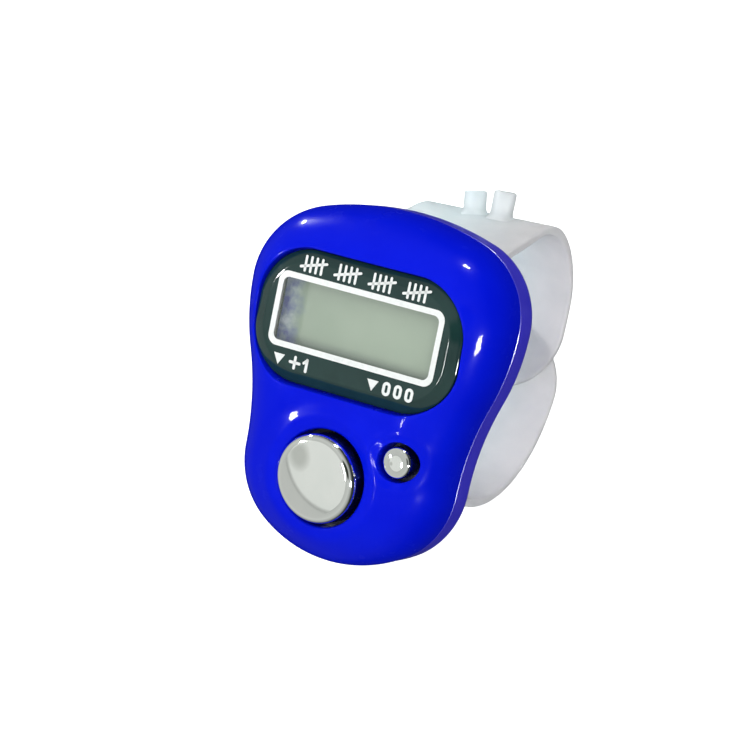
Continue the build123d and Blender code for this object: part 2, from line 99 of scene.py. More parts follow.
towards = aim(
    sin(CAMERA_AZIMUTH) * cos(CAMERA_ELEVATION),
    sin(CAMERA_ELEVATION),
    -cos(CAMERA_AZIMUTH) * cos(CAMERA_ELEVATION),
)
level_right = aim(cos(CAMERA_AZIMUTH), 0, sin(CAMERA_AZIMUTH))
level_up = towards.cross(level_right)
right = cos(CAMERA_ROLL) * level_right + sin(CAMERA_ROLL) * level_up
above = towards.cross(right)
camera_at = Vector(place(CAMERA_PLACE)[0])

camera = bpy.data.objects.new("camera", bpy.data.cameras.new("camera"))
bpy.context.scene.collection.objects.link(camera)
camera.data.lens = CAMERA_LENS
camera.data.sensor_width = CAMERA_SENSOR
camera.data.clip_start, camera.data.clip_end = 0.01, 10.0
camera.matrix_world = Matrix(
    [
        [right.x, above.x, towards.x, camera_at.x],
        [right.y, above.y, towards.y, camera_at.y],
        [right.z, above.z, towards.z, camera_at.z],
        [0, 0, 0, 1],
    ]
)
bpy.context.scene.camera = camera

# Materials --------------------------------------------------------------------------------------


def add_node(tree, kind, links=None, **settings):
    """A new node in a tree, with each socket linked to another or set to a constant."""
    made = tree.nodes.new(kind)
    for key, value in settings.items():
        setattr(made, key, value)
    for socket, source in (links or {}).items():
        if isinstance(source, bpy.types.NodeSocket):
            tree.links.new(source, made.inputs[socket])
        else:
            made.inputs[socket].default_value = source
    return made


def mix_colours(tree, factor, a, b):
    """Colour a where the factor is 0 and colour b where it is 1; each is a socket or a colour."""
    made = add_node(tree, "ShaderNodeMix", {"Factor": factor}, data_type="RGBA")
    for socket, source in ((made.inputs[6], a), (made.inputs[7], b)):
        if isinstance(source, bpy.types.NodeSocket):
            tree.links.new(source, socket)
        else:
            socket.default_value = (*source, 1)
    return made.outputs[2]


class Shader:
    """A node material round one Principled shader."""

    def __init__(self, name, **constants):
        self.material = bpy.data.materials.new(name)
        self.material.use_nodes = True
        self.tree = self.material.node_tree
        self.shader = self.tree.nodes["Principled BSDF"]
        for socket, value in constants.items():
            self.shader.inputs[socket.replace("_", " ")].default_value = value
        self.where = self.node("ShaderNodeTexCoord").outputs["Object"]

    def node(self, kind, links=None, **settings):
        return add_node(self.tree, kind, links, **settings)

    def link(self, source, socket):
        """One of the shader's own sockets, driven by a node."""
        self.tree.links.new(source, self.shader.inputs[socket])

    def noise(self, per_mm, detail=3.0):
        """Cloudy greys, with so many waves to the millimetre."""
        links = {"Vector": self.where, "Scale": per_mm / MM, "Detail": detail}
        return self.node("ShaderNodeTexNoise", links).outputs["Fac"]

    def ramp(self, value, *stops):
        """Colours or greys over a value; each stop is a place and a colour."""
        made = self.node("ShaderNodeValToRGB", {"Fac": value})
        elements = made.color_ramp.elements
        while len(elements) < len(stops):
            elements.new(0.5)
        for element, (at, colour) in zip(elements, stops):
            element.position = at
            element.color = (colour,) * 3 + (1,) if isinstance(colour, float) else (*colour, 1)
        return made.outputs["Color"]

    def span(self, value, low, high):
        """A value mapped from low..high to 0..1, smoothly."""
        links = {"Value": value, "From Min": low, "From Max": high}
        made = self.node("ShaderNodeMapRange", links, interpolation_type="SMOOTHSTEP")
        return made.outputs["Result"]

    def along(self, axis):
        """Millimetres along one of the face's axes from the middle of the display."""
        links = {0: self.where, 1: tuple(axis / MM)}
        dot = self.node("ShaderNodeVectorMath", links, operation="DOT_PRODUCT").outputs["Value"]
        return self.math("SUBTRACT", dot, ORIGIN.dot(axis) / MM)

    def math(self, operation, a, b):
        return self.node("ShaderNodeMath", {0: a, 1: b}, operation=operation).outputs[0]

    def mix(self, factor, a, b):
        return mix_colours(self.tree, factor, a, b)

    def vary(self, low, high, per_mm):
        """Base colour wandering between two colours."""
        self.link(self.ramp(self.noise(per_mm), (0.3, low), (0.7, high)), "Base Color")
        return self

    def wear(self, low, high, per_mm):
        """Roughness wandering between two values."""
        self.link(self.ramp(self.noise(per_mm), (0.35, low), (0.65, high)), "Roughness")
        return self

    def grain(self, per_mm, depth_mm):
        """A fine unevenness of the surface."""
        links = {"Height": self.noise(per_mm), "Strength": 1.0, "Distance": depth_mm * MM}
        self.link(self.node("ShaderNodeBump", links).outputs["Normal"], "Normal")
        return self


blue = Shader("blue_gloss", Specular_IOR_Level=0.01, Coat_Weight=0.14, Coat_Roughness=0.02, Coat_IOR=1.45)
blue.vary((0.0006, 0.006, 0.58), (0.0012, 0.009, 0.64), 0.12).wear(0.2, 0.28, 0.5).grain(0.35, 0.004)

blue_rear = Shader("blue_rear", Specular_IOR_Level=0.45, Coat_Weight=0.2, Coat_Roughness=0.15)
blue_rear.vary((0.030, 0.022, 0.60), (0.042, 0.032, 0.68), 0.2).wear(0.3, 0.42, 0.8).grain(2.0, 0.004)

lens_dark = Shader("lens_over_black", Specular_IOR_Level=0.4, Coat_Weight=0.15, Coat_Roughness=0.02)
lens_dark.vary((0.006, 0.026, 0.024), (0.011, 0.038, 0.034), 0.25).wear(0.05, 0.09, 0.6)

lens_clear = Shader("lens_clear", Alpha=0.08, Specular_IOR_Level=0.5)
lens_clear.vary((0.55, 0.66, 0.60), (0.62, 0.72, 0.66), 0.3).wear(0.03, 0.06, 1.0)

ink = Shader("white_print", Specular_IOR_Level=0.4, Coat_Weight=0.3)
ink.vary((0.68, 0.72, 0.70), (0.76, 0.79, 0.77), 1.2).wear(0.25, 0.35, 2.0)

chrome = Shader("chrome", Metallic=1.0)
chrome.vary((0.86, 0.88, 0.86), (0.90, 0.91, 0.89), 0.4).wear(0.035, 0.06, 0.8).grain(0.5, 0.0012)

# The straps have painted shade across them: lighter and cooler on the left, darker and warmer on the right.
strap_clear = Shader("frosted_pvc", Transmission_Weight=0.45, IOR=1.38, Specular_IOR_Level=0.15)
lighter_cool_tone = strap_clear.ramp(strap_clear.noise(0.3), (0.3, (0.78, 0.87, 0.88)), (0.7, (0.84, 0.91, 0.92)))
painted_shade_warm_tone = strap_clear.ramp(strap_clear.noise(0.3), (0.3, (0.72, 0.72, 0.72)), (0.7, (0.80, 0.79, 0.79)))
painted_shade_side = strap_clear.span(strap_clear.along(ACROSS), -4.0, 8.0)
strap_clear.link(strap_clear.mix(painted_shade_side, lighter_cool_tone, painted_shade_warm_tone), "Base Color")
strap_clear.wear(0.42, 0.55, 0.9).grain(1.2, 0.01)

# The display is grey-green, with a painted shadow along its foot and, at its left end, a painted, cloudy
# reflection of the blue wall beside the window.
lcd = Shader("lcd_face", Specular_IOR_Level=0.3)
lcd_x, lcd_up = lcd.along(ACROSS), lcd.along(UP)
reflection_cloud = lcd.noise(0.55, 4.0)
green = lcd.ramp(lcd.noise(0.12, 2.0), (0.35, (0.255, 0.325, 0.24)), (0.65, (0.295, 0.365, 0.275)))
edge = lcd.math("ADD", lcd_x, lcd.math("MULTIPLY", reflection_cloud, 2.4))
# The left end's painted reflection of the blue window wall: blue-grey tones, blurred by the noise.
painted_wall_tones = (0.38, (0.12, 0.13, 0.34)), (0.52, (0.30, 0.35, 0.42)), (0.62, (0.56, 0.60, 0.66))
painted_wall_reflection = lcd.ramp(reflection_cloud, *painted_wall_tones)
# A painted shadow darkens the display towards its foot.
shade = lcd.span(lcd.math("ADD", lcd_up, lcd.math("MULTIPLY", lcd_x, 0.02)), -3.7, -2.5)
green = lcd.mix(shade, (0.18, 0.225, 0.18), green)
lcd.link(lcd.mix(lcd.span(edge, -8.6, -6.2), painted_wall_reflection, green), "Base Color")
lcd.wear(0.35, 0.5, 1.0)

# The keys' side walls get a dark navy copy of the chrome: painted shade from their holes, with a painted
# reflection of the blue shell. Their hidden parts are bare plastic.
painted_shade_chrome = Shader("chrome_painted_shade", Metallic=1.0)
painted_shade_chrome.vary((0.015, 0.03, 0.12), (0.03, 0.05, 0.20), 0.6).wear(0.18, 0.3, 1.0)
unplated = Shader("key_plastic", Specular_IOR_Level=0.3)
unplated.vary((0.004, 0.006, 0.03), (0.008, 0.012, 0.05), 0.8).wear(0.3, 0.45, 1.2)

steel = Shader("zinc_steel", Metallic=1.0)
steel.vary((0.55, 0.55, 0.57), (0.68, 0.68, 0.70), 1.5).wear(0.25, 0.4, 2.0).grain(5.0, 0.003)
cell_steel = Shader("cell_steel", Metallic=1.0)
cell_steel.vary((0.66, 0.65, 0.63), (0.76, 0.75, 0.73), 0.6).wear(0.2, 0.32, 1.4).grain(4.0, 0.002)
spring = Shader("contact_metal", Metallic=1.0)
spring.vary((0.66, 0.62, 0.50), (0.76, 0.73, 0.62), 1.0).wear(0.22, 0.35, 2.0).grain(5.0, 0.002)
tape = Shader("black_tape").vary((0.015, 0.015, 0.015), (0.03, 0.03, 0.03), 1.5).wear(0.5, 0.7, 2.0)
glass = Shader("lcd_glass", Transmission_Weight=0.8, IOR=1.5)
glass.vary((0.72, 0.80, 0.70), (0.78, 0.84, 0.76), 0.5).wear(0.04, 0.1, 1.0)
reflector = Shader("reflector").vary((0.50, 0.56, 0.44), (0.58, 0.63, 0.52), 0.8).wear(0.5, 0.65, 1.5)
holder = Shader("white_abs").vary((0.74, 0.74, 0.71), (0.82, 0.82, 0.79), 0.7)
holder.wear(0.45, 0.6, 1.2).grain(3.0, 0.006)
ZEBRA_PITCH, WAVES_PER_SCALE = 0.18, 20
zebra = Shader("zebra_rubber", Roughness=0.6)
stripes = zebra.node(
    "ShaderNodeTexWave",
    {"Vector": zebra.where, "Scale": 1.0 / (WAVES_PER_SCALE * ZEBRA_PITCH * MM), "Distortion": 0.0},
    bands_direction="X",
)
zebra.link(zebra.mix(stripes.outputs["Fac"], (0.62, 0.36, 0.38), (0.06, 0.05, 0.05)), "Base Color")
board = Shader("solder_resist", Coat_Weight=0.3, Coat_Roughness=0.15)
tracks = board.node(
    "ShaderNodeTexVoronoi", {"Vector": board.where, "Scale": 0.7 / MM}, distance="MANHATTAN"
).outputs["Distance"]
RESIST, RESIST_ON_TRACK = (0.015, 0.20, 0.07), (0.03, 0.32, 0.12)
track_tones = board.ramp(tracks, (0.30, RESIST), (0.34, RESIST_ON_TRACK), (0.40, RESIST))
board.link(track_tones, "Base Color")
board.wear(0.3, 0.45, 1.5)
epoxy = Shader("black_epoxy").vary((0.01, 0.01, 0.01), (0.025, 0.025, 0.025), 0.8)
epoxy.wear(0.25, 0.45, 0.9).grain(1.0, 0.02)
ceramic = Shader("component_body").vary((0.30, 0.21, 0.13), (0.42, 0.31, 0.20), 1.5).wear(0.4, 0.6, 3.0)
silicone = Shader("silicone", Subsurface_Weight=0.2, Subsurface_Scale=0.001)
silicone.vary((0.70, 0.70, 0.68), (0.80, 0.80, 0.78), 0.8).wear(0.45, 0.6, 1.5).grain(2.0, 0.005)
carbon = Shader("carbon_rubber").vary((0.015, 0.015, 0.015), (0.035, 0.035, 0.035), 2.0)
carbon.wear(0.6, 0.8, 3.0).grain(4.0, 0.006)
gasket = Shader("nylon_gasket").vary((0.12, 0.17, 0.12), (0.20, 0.26, 0.20), 1.0).wear(0.4, 0.55, 2.0)

finish_of = {
    "blue_shell": blue_rear,
    "steel_screw": steel,
    "lens": lens_dark,
    "tape": tape,
    "polariser": lcd,
    "lcd_glass": glass,
    "reflector": reflector,
    "white_plastic": holder,
    "zebra_rubber": zebra,
    "board_green": board,
    "epoxy_black": epoxy,
    "component_body": ceramic,
    "chrome": chrome,
    "silicone": silicone,
    "carbon": carbon,
    "cell_steel": cell_steel,
    "cell_gasket": gasket,
    "contact_metal": spring,
    "strap_clear": strap_clear,
}
for part in frame["record"]["subparts"]:
    frame["nodes"][part["node"]].data.materials[0] = finish_of[part["material_slot"]].material

# Mesh helpers -----------------------------------------------------------------------------------

SAME_PLACE = 1e-7


class Skin:
    """Points in mm on the face's axes, and faces over them, gathered into one mesh."""

    def __init__(self):
        self.points, self.faces, self.kinds = [], [], []

    def add(self, points):
        """New points; returns their numbers."""
        start = len(self.points)
        self.points.extend(tuple(float(v) for v in p) for p in points)
        return range(start, len(self.points))

    def face(self, corners, kind=0):
        self.faces.append(tuple(corners))
        self.kinds.append(kind)

    def strip(self, a, b, kind=0):
        """Quads between two closed rows of points."""
        for i in range(len(a)):
            j = (i + 1) % len(a)
            self.face((b[i], b[j], a[j], a[i]), kind)

    def rings(self, loops, kind=0):
        """Closed rows of points joined one to the next; returns the first and last row."""
        rows = [self.add(loop) for loop in loops]
        for a, b in zip(rows, rows[1:]):
            self.strip(a, b, kind)
        return rows[0], rows[-1]

    def patch(self, points, triangles):
        """Triangles over new points."""
        ids = self.add(points)
        for corners in triangles:
            self.face([ids[i] for i in corners])

    def piece(self, name, body, slot_name, *finishes, sharp=35.0, solid=False):
        """The mesh as an object riding on a CAD body; an open skin is turned to face forwards."""
        mesh = bpy.data.meshes.new(name)
        mesh.from_pydata([tuple(p) for p in place(self.points)], [], self.faces)
        for finish in finishes:
            mesh.materials.append(finish.material)
        mesh.polygons.foreach_set("material_index", self.kinds)
        work = bmesh.new()
        work.from_mesh(mesh)
        bmesh.ops.remove_doubles(work, verts=work.verts, dist=SAME_PLACE)
        bmesh.ops.recalc_face_normals(work, faces=work.faces)
        backwards = sum(face.normal.dot(IN) * face.calc_area() for face in work.faces)
        if not solid and backwards > 0:
            bmesh.ops.reverse_faces(work, faces=work.faces)
        work.to_mesh(mesh)
        work.free()
        mesh.polygons.foreach_set("use_smooth", [True] * len(mesh.polygons))
        mesh.set_sharp_from_angle(angle=radians(sharp))
        made = bpy.data.objects.new(name, mesh)
        bpy.context.scene.collection.objects.link(made)
        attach(made, body)
        return made


def inside(points, loop):
    """Which points lie inside a closed loop."""
    x, y = points[:, 0][:, None], points[:, 1][:, None]
    x0, y0 = loop[:, 0], loop[:, 1]
    x1, y1 = np.roll(x0, -1), np.roll(y0, -1)
    rises = (y0 > y) != (y1 > y)
    step = np.where(y1 == y0, 1.0, y1 - y0)
    return (np.sum(rises & (x < (x1 - x0) * (y - y0) / step + x0), axis=1) % 2).astype(bool)


# How near the rim of a filled region its inner points may come, as a share of their spacing.
RIM_ROOM = 0.45


def fill(outer, holes, spacing):
    """Triangles over the region inside one loop and outside the others: 2-D points and corner rows."""
    loops = [np.asarray(outer, float)] + [np.asarray(h, float) for h in holes]
    low, high = loops[0].min(0), loops[0].max(0)
    rows = np.arange(low[1], high[1], spacing * sqrt(3) / 2)
    columns = np.arange(low[0], high[0], spacing)
    seeds = np.array([(c + spacing / 2 * (k % 2), r) for k, r in enumerate(rows) for c in columns])
    keep = inside(seeds, loops[0])
    for hole in loops[1:]:
        keep &= ~inside(seeds, hole)
    seeds = seeds[keep]
    rim = np.concatenate(loops)
    near = kdtree.KDTree(len(rim))
    for i, p in enumerate(rim):
        near.insert((*p, 0), i)
    near.balance()
    clear = [p for p in seeds if near.find((*p, 0))[2] > spacing * RIM_ROOM]
    seeds = np.array(clear).reshape(-1, 2)
    points = np.concatenate([rim, seeds])
    edges, start = [], 0
    for loop in loops:
        n = len(loop)
        edges += [(start + i, start + (i + 1) % n) for i in range(n)]
        start += n
    found, _, triangles, sources, _, _ = geometry.delaunay_2d_cdt(
        [Vector(p) for p in points], edges, [], 0, SAME_PLACE
    )
    flat = np.array([points[s[0]] if s else tuple(p) for p, s in zip(found, sources)])
    triangles = np.array(triangles)
    middles = flat[triangles].mean(1)
    keep = inside(middles, loops[0])
    for hole in loops[1:]:
        keep &= ~inside(middles, hole)
    return flat, triangles[keep]


ARC_STEPS, SIDE_STEPS = 28, 40


def rounded(length, height, corner, centre=(0.0, 0.0)):
    """A rounded rectangle as a clockwise loop, with the same number of points for any size."""
    loop = []
    across, up = length / 2 - corner, height / 2 - corner
    for quarter, (sx, sy) in enumerate(((1, 1), (1, -1), (-1, -1), (-1, 1))):
        for i in range(ARC_STEPS + 1):
            angle = pi / 2 - (quarter + i / ARC_STEPS) * pi / 2
            loop.append((sx * across + corner * cos(angle), sy * up + corner * sin(angle)))
        end = np.array(loop[-1])
        nx, ny = ((1, -1), (-1, -1), (-1, 1), (1, 1))[quarter]
        angle = -quarter * pi / 2
        following = np.array((nx * across + corner * cos(angle), ny * up + corner * sin(angle)))
        for i in range(1, SIDE_STEPS):
            loop.append(tuple(end + (following - end) * i / SIDE_STEPS))
    return np.array(loop) + np.array(centre)


def circle(radius, centre=(0.0, 0.0), steps=144):
    """A circle as a clockwise loop."""
    turn = np.linspace(0, 2 * pi, steps, endpoint=False)
    return np.stack([centre[0] + radius * np.sin(turn), centre[1] + radius * np.cos(turn)], 1)


def at_depth(loop, depth):
    """A 2-D loop as places at one depth, or at a depth for each point."""
    return np.column_stack([loop, np.broadcast_to(depth, len(loop))])


def outward(loop):
    """Unit normals pointing out of a clockwise 2-D loop."""
    along = np.roll(loop, -1, 0) - np.roll(loop, 1, 0)
    normal = np.stack([-along[:, 1], along[:, 0]], 1)
    return normal / np.linalg.norm(normal, axis=1)[:, None]


# Front shell ------------------------------------------------------------------------------------

TOP = 12.4
ARCS = ((32.5, 17.0, 1), (8.5, 73.0, 1), (23.5, 20.0, 1), (28.8, 20.0, -1), (9.4, 57.0, 1))
CROWN, SEAM = -0.9, 6.0
DOME_WIDTH, DOME_POWER, DOME_DROP = 8.0, 2.3, 0.6
DOME_DEPTH = SEAM - CROWN
DOME_ROUNDS = 24
COUNT, COUNT_HOLE, COUNT_RADIUS, COUNT_PROUD = (0.0, -16.0), 5.15, 4.7, 2.7
RESET, RESET_HOLE, RESET_RADIUS, RESET_PROUD = (8.1, -12.2), 2.1, 1.65, 0.95
KEY_LEDGE, KEY_BACK = 1.6, 2.45
LENS_LENGTH, LENS_HEIGHT, LENS_CORNER, LENS_UP, LENS_GAP = 24.4, 14.1, 5.9, -0.35, 0.15
SEAT, SEAT_BACK = 1.15, 2.0
SHELL_WALL, SHELL_INSIDE = 1.3, 3.0
OUTLINE_SPACING, FACE_SPACING = 0.16, 0.33
LENS_RIM, COUNT_RIM, RESET_RIM = 0.16, 0.25, 0.1

# Soft swellings and hollows round the keys: centre, radius, width, and height towards the viewer.
RIDGES = ((COUNT, 6.4, 0.8, 0.16), (COUNT, 8.2, 0.8, -0.07), (RESET, 3.0, 0.5, 0.10))


def outline_arcs():
    """The right half of the pear as arcs: centre, radius, first and last heading, and bend."""
    at, heading, arcs = np.array([0.0, TOP]), 0.0, []
    chain = list(ARCS)
    while chain:
        radius, turn, bend = chain.pop(0)
        away = np.array([-sin(heading), cos(heading)]) * bend
        centre = at - away * radius
        last = heading - bend * radians(turn)
        arcs.append((centre, radius, heading, last, bend))
        heading = last
        at = centre + np.array([-sin(heading), cos(heading)]) * bend * radius
        if not chain and len(arcs) == len(ARCS):
            closing = pi + heading
            chain.append((at[0] / sin(closing), degrees(closing), 1))
    return arcs


PEAR = outline_arcs()


def pear_loop():
    """The outline, clockwise from the top, and its outward normals."""
    places, normals = [], []
    for centre, radius, first, last, bend in PEAR:
        steps = max(8, round(abs(last - first) * radius / OUTLINE_SPACING))
        for heading in np.linspace(first, last, steps, endpoint=False):
            normal = np.array([-sin(heading), cos(heading)])
            normals.append(normal)
            places.append(centre + normal * bend * radius)
    bottom = PEAR[-1][0] + np.array([0.0, -PEAR[-1][1]])
    mirrored = [p * (-1, 1) for p in places[:0:-1]]
    mirrored_normals = [n * (-1, 1) for n in normals[:0:-1]]
    loop = places + [bottom] + mirrored
    out = normals + [np.array([0.0, -1.0])] + mirrored_normals
    return np.array(loop), np.array(out)


def depth_inside(x, up):
    """How far inside the outline each point lies, in mm."""
    x = np.abs(x)
    nearest = np.full(x.shape, 1e9)
    for centre, radius, first, last, bend in PEAR:
        dx, dy = x - centre[0], up - centre[1]
        reach = np.hypot(dx, dy)
        heading = np.arctan2(-dx * bend, dy * bend)
        heading = np.where(heading > 0.02, heading - 2 * pi, heading)
        low, high = min(first, last) - 1e-3, max(first, last) + 1e-3
        gap = (radius - reach) * bend
        nearest = np.where((heading >= low) & (heading <= high), np.minimum(nearest, gap), nearest)
    return nearest


def dome(x, up):
    """The dome's depth without its details, found in rounds, as the outline drops with depth."""
    depth = np.zeros(np.shape(x))
    for _ in range(DOME_ROUNDS):
        inset = depth_inside(x, up + DOME_DROP * (SEAM - depth) / DOME_DEPTH)
        share = np.clip(inset / DOME_WIDTH, 0, 1)
        rise = (1 - (1 - share) ** DOME_POWER) ** (1 / DOME_POWER)
        depth = 0.5 * depth + 0.5 * (SEAM - DOME_DEPTH * rise)
    return depth


def surface(x, up):
    """The front shell's depth, with the soft rims round the keys."""
    depth = dome(x, up)
    for centre, radius, width, height in RIDGES:
        away = np.hypot(x - centre[0], up - centre[1]) - radius
        depth = depth - height * np.exp(-((away / width) ** 2))
    return depth


outline, out_normals = pear_loop()
LAST_INSET = 1.0
shell = Skin()
last_share = LAST_INSET / DOME_WIDTH
last_angle = np.arccos((1 - last_share) ** (DOME_POWER / 2))
loops = []
for angle in np.linspace(0, last_angle, 26):
    rise = sin(angle) ** (2 / DOME_POWER)
    inset = DOME_WIDTH * (1 - cos(angle) ** (2 / DOME_POWER))
    depth = SEAM - DOME_DEPTH * rise
    loops.append(at_depth(outline - out_normals * inset - (0, DOME_DROP * rise), depth))
ring_edge = loops[-1][:, :2]
inner_wall = outline - out_normals * SHELL_WALL
shell.rings([at_depth(inner_wall, d) for d in (SHELL_INSIDE, SEAM)] + loops)

room_size = (LENS_LENGTH + 2 * LENS_GAP, LENS_HEIGHT + 2 * LENS_GAP, LENS_CORNER + LENS_GAP)
lens_room = rounded(*room_size, (0, LENS_UP))
window_room = rounded(LENS_LENGTH - 2, LENS_HEIGHT - 2, LENS_CORNER - 1, (0, LENS_UP))
count_room = circle(COUNT_HOLE, COUNT)
reset_room = circle(RESET_HOLE, RESET, 80)
rims = []
for room, soft, floor_depth in (
    (lens_room, LENS_RIM, SEAT),
    (count_room, COUNT_RIM, KEY_LEDGE),
    (reset_room, RESET_RIM, KEY_LEDGE),
):
    away = outward(room)
    mouth = room + away * soft
    top = surface(*mouth.T)
    wall = []
    for turn in np.linspace(0, pi / 2, 8):
        wall.append(at_depth(room + away * soft * (1 - sin(turn)), top + soft * (1 - cos(turn))))
    wall.append(at_depth(room, np.maximum(floor_depth, top + soft)))
    if floor_depth == SEAT:
        wall.append(at_depth(window_room, floor_depth))
        wall.append(at_depth(window_room, SEAT_BACK))
    shell.rings(wall)
    rims.append(mouth)

flat, triangles = fill(ring_edge, rims, FACE_SPACING)
depths = surface(*flat.T)
# The points shared with the last ring keep its depth, so that the two meet without a step.
border = slice(len(ring_edge))
shared = np.linalg.norm(flat[border] - ring_edge, axis=1) < 1e-6
depths[border] = np.where(shared, loops[-1][:, 2], depths[border])
shell.patch(np.column_stack([flat, depths]), triangles)
front = shell.piece("shell_front", "case", "blue_shell", blue, sharp=50)
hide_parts("front_shell")

# Lens, its window and its print -----------------------------------------------------------------

LENS_THICKNESS, BEVEL_DEPTH, BEVEL_WIDTH = 1.0, 0.55, 1.3
BEVEL_END = BEVEL_WIDTH + 0.1
WINDOW_LENGTH, WINDOW_HEIGHT, WINDOW_CORNER = 19.0, 6.9, 0.8
WINDOW_STEP = 0.06
FRAME_LENGTH, FRAME_HEIGHT, FRAME_CORNER = 20.0, 7.94, 1.1


def lens_loop(inset):
    """The lens's edge, moved inwards."""
    size = (LENS_LENGTH - 2 * inset, LENS_HEIGHT - 2 * inset, LENS_CORNER - inset)
    return rounded(*size, (0, LENS_UP))


# The lens's edge from the back: its side, a small rounding, the bevel and a softened brow.
lens = Skin()
profile = [(1.2, LENS_THICKNESS), (0.0, LENS_THICKNESS), (0.0, BEVEL_DEPTH + 0.08)]
profile += [(0.03, BEVEL_DEPTH + 0.02), (0.1, BEVEL_DEPTH - 0.045)]
profile += [(0.4, BEVEL_DEPTH * 0.69), (0.8, BEVEL_DEPTH * 0.385)]
profile += [(BEVEL_WIDTH - 0.12, 0.05), (BEVEL_WIDTH - 0.02, 0.012), (BEVEL_END, 0.0)]
lens.rings([at_depth(lens_loop(w), d) for w, d in profile])
pane = rounded(WINDOW_LENGTH, WINDOW_HEIGHT, WINDOW_CORNER)
lens.rings([at_depth(lens_loop(BEVEL_END), 0.0), at_depth(pane, 0.0)])
lens.rings([at_depth(pane, 0.0), at_depth(pane, WINDOW_STEP)])
pane_row = lens.add(at_depth(pane, 0.0))
lens.face(pane_row, 1)
window = lens.piece("display_lens", "case", "lens", lens_dark, lens_clear, sharp=30)
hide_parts("window_lens")

INK, INK_SPACING = 0.02, 5.0
FRAME_OVERLAP = 0.1
print_skin = Skin()


def stamp(outer, holes=()):
    """A printed mark: a thin raised patch on the front of the lens."""
    flat, triangles = fill(outer, holes, INK_SPACING)
    print_skin.patch(at_depth(flat, -INK), triangles)
    for loop in (outer, *holes):
        print_skin.rings([at_depth(loop, 0.0), at_depth(loop, -INK)])


def stroke(x0, y0, x1, y1, width):
    """A straight stroke with round ends."""
    start, end = np.array([x0, y0]), np.array([x1, y1])
    facing = atan2(x1 - x0, y1 - y0)
    loop = []
    for centre, first in ((end, facing - pi / 2), (start, facing + pi / 2)):
        for i in range(9):
            turn = first + pi * i / 8
            loop.append(centre + width / 2 * np.array([sin(turn), cos(turn)]))
    stamp(np.array(loop))


frame_inside = rounded(
    WINDOW_LENGTH - 2 * FRAME_OVERLAP,
    WINDOW_HEIGHT - 2 * FRAME_OVERLAP,
    WINDOW_CORNER - FRAME_OVERLAP,
)
stamp(rounded(FRAME_LENGTH, FRAME_HEIGHT, FRAME_CORNER), [frame_inside])

STROKE = 0.28
GATE_UP, GATE_HEIGHT, GATE_PITCH = 5.15, 1.5, 0.66
GATE_BAR_REACH, GATE_BAR_RISE = 2.3 * GATE_PITCH, 0.42


def gate(x):
    """Four strokes and a bar across them, as a count of five is tallied by hand."""
    for i in range(4):
        foot = x + (i - 1.5) * GATE_PITCH
        stroke(foot, GATE_UP - GATE_HEIGHT / 2, foot, GATE_UP + GATE_HEIGHT / 2, STROKE)
    start, end = (x - GATE_BAR_REACH, GATE_UP - GATE_BAR_RISE), (x + GATE_BAR_REACH, GATE_UP + GATE_BAR_RISE)
    stroke(*start, *end, STROKE)


for place_x in (-6.2, -2.05, 2.1, 6.25):
    gate(place_x)


def digit_zero(x, up, height, width):
    outer = rounded(width, height, width * 0.49, (x, up))
    inside_width, inside_height = width - 2 * STROKE * 1.15, height - 2 * STROKE * 1.1
    inner = rounded(inside_width, inside_height, width * 0.49 - STROKE * 1.1, (x, up))
    stamp(outer, [inner])


def digit_one(x, up, height):
    stroke(x, up - height / 2 + STROKE / 2, x, up + height / 2 - STROKE / 2, STROKE * 1.15)
    stroke(x, up + height / 2 - STROKE / 2, x - 0.36, up + height / 2 - 0.5, STROKE * 1.05)


def plus(x, up, size):
    stroke(x - size / 2, up, x + size / 2, up, STROKE * 1.1)
    stroke(x, up - size / 2, x, up + size / 2, STROKE * 1.1)


def arrow(x, up, size):
    """A small solid arrowhead pointing down to a key."""
    brow, tip = up + size * 0.4, up - size * 0.45
    stamp(np.array([(x - size / 2, brow), (x + size / 2, brow), (x, tip)]))


# A plus and a one stand over the count key, and three zeros over the reset key.
WORD_UP, DIGIT, ZERO_WIDTH, PLUS, ARROW = -5.25, 1.45, 0.95, 1.15, 1.35
arrow(-8.2, WORD_UP, ARROW)
plus(-6.2, WORD_UP, PLUS)
digit_one(-4.75, WORD_UP, DIGIT)
arrow(3.3, WORD_UP, ARROW)
for place_x in (5.0, 6.35, 7.7):
    digit_zero(place_x, WORD_UP, DIGIT, ZERO_WIDTH)
print_skin.piece("display_print", "case", "lens", ink, sharp=40)

# Keys -------------------------------------------------------------------------------------------

COUNT_FLANGE, RESET_FLANGE, FLANGE_FRONT, KEY_CORE = 5.75, 2.4, 1.65, 0.6
COUNT_SOFT, RESET_SOFT = 0.8, 0.3
COUNT_TILT, COUNT_CROWN = radians(6.0), 30.0
RESET_CROWN = 4.0


def key_skin(centre, radius, flange, steps, crown, soft):
    """A key with a flange under the shell, a straight side in painted shade and a softly rounded, domed top."""
    skin = Skin()
    under = [at_depth(circle(r, centre, steps), KEY_BACK) for r in (KEY_CORE, flange)]
    under += [at_depth(circle(r, centre, steps), FLANGE_FRONT) for r in (flange, radius)]
    skin.rings(under, 1)
    side_top = crown(*circle(radius - soft, centre, steps).T)
    rows = [at_depth(circle(radius, centre, steps), side_top + soft)]
    skin.rings([under[-1], rows[0]], 2)
    for turn in np.linspace(0.12, pi / 2, 9):
        loop = circle(radius - soft * (1 - cos(turn)), centre, steps)
        rows.append(at_depth(loop, crown(*loop.T) + soft * (1 - sin(turn))))
    for share in np.linspace(1, 0, 26)[1:-1]:
        loop = circle((radius - soft) * share, centre, steps)
        rows.append(at_depth(loop, crown(*loop.T)))
    _, last = skin.rings(rows)
    skin.face(last)
    return skin


